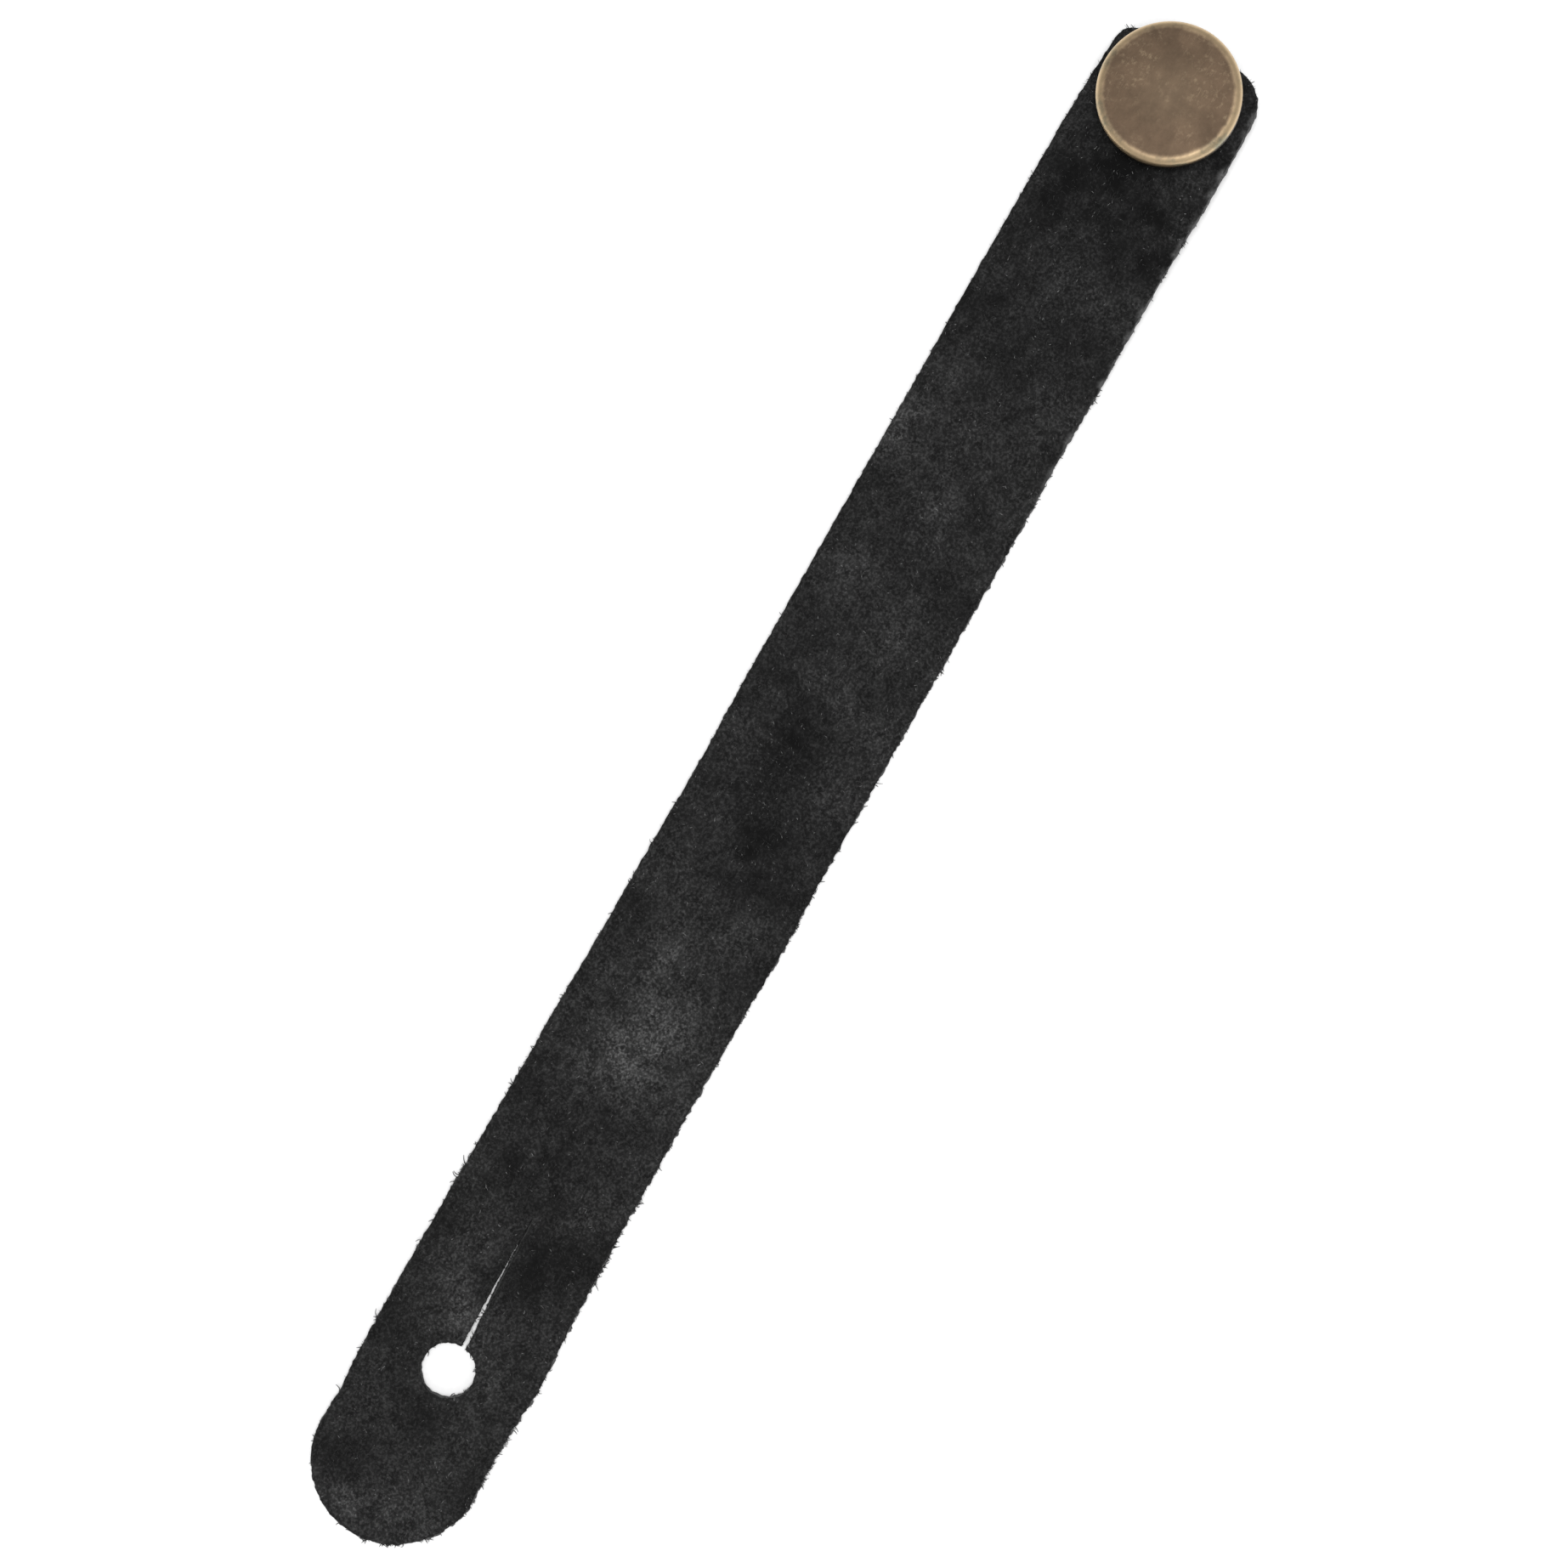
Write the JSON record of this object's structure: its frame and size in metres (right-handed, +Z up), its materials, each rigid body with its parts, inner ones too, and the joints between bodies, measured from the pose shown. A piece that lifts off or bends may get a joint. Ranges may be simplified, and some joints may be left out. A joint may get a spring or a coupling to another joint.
{
  "type": "leather strap tie with button stud",
  "caption": "Short flat suede strap with a swivelling brass button stud at one end and a keyhole buttonhole at the other, which buttons into a loop.",
  "frame": {"origin": "centre of the underside of the object's box, on the surface that the strap lies on", "axes": "+X along the strap towards the button, +Y across the strap, +Z up out of the napped face that the button stands on"},
  "size_m": [0.2016, 0.0204, 0.0096],
  "materials": {
    "suede": "napped suede, black",
    "antique_brass": "antique plated, satin",
    "insert_plastic": "moulded, matt",
    "nail_aluminium": "cold headed"
  },
  "bodies": {
    "button_end": {"strap_button_end": "suede", "button_neck": "antique_brass", "tack_nail": "nail_aluminium", "tack_cap": "antique_brass"},
    "button": {"button_cap": "antique_brass", "button_base_ring": "antique_brass", "button_insert": "insert_plastic"},
    "length_1": {"strap_length_1": "suede"},
    "length_2": {"strap_length_2": "suede"},
    "length_3": {"strap_length_3": "suede"},
    "length_4": {"strap_length_4": "suede"},
    "length_5": {"strap_length_5": "suede"},
    "slot_end": {"strap_slot_end": "suede"}
  },
  "joints": [
    {"name": "button_swivel", "type": "hinge", "parent": "button_end", "child": "button", "pos_m": [0.0923, 0.00034, 0.00652], "axis": [0, 0.1392, 0.9903], "continuous": true},
    {"name": "bend_1", "type": "hinge", "parent": "button_end", "child": "length_1", "pos_m": [0.0381, 0, 0.0018], "axis": [0, 1, 0], "range_deg": [0, 35], "stiffness_Nm_per_rad": 0.005},
    {"name": "bend_2", "type": "hinge", "parent": "length_1", "child": "length_2", "pos_m": [0.0256, 0, 0.0018], "axis": [0, 1, 0], "range_deg": [0, 35], "stiffness_Nm_per_rad": 0.005},
    {"name": "bend_3", "type": "hinge", "parent": "length_2", "child": "length_3", "pos_m": [0.0131, 0, 0.0018], "axis": [0, 1, 0], "range_deg": [0, 35], "stiffness_Nm_per_rad": 0.005},
    {"name": "bend_4", "type": "hinge", "parent": "length_3", "child": "length_4", "pos_m": [0.0006, 0, 0.0018], "axis": [0, 1, 0], "range_deg": [0, 35], "stiffness_Nm_per_rad": 0.005},
    {"name": "bend_5", "type": "hinge", "parent": "length_4", "child": "length_5", "pos_m": [-0.0119, 0, 0.0018], "axis": [0, 1, 0], "range_deg": [0, 35], "stiffness_Nm_per_rad": 0.005},
    {"name": "bend_6", "type": "hinge", "parent": "length_5", "child": "slot_end", "pos_m": [-0.0244, 0, 0.0018], "axis": [0, 1, 0], "range_deg": [0, 35], "stiffness_Nm_per_rad": 0.005}
  ]
}
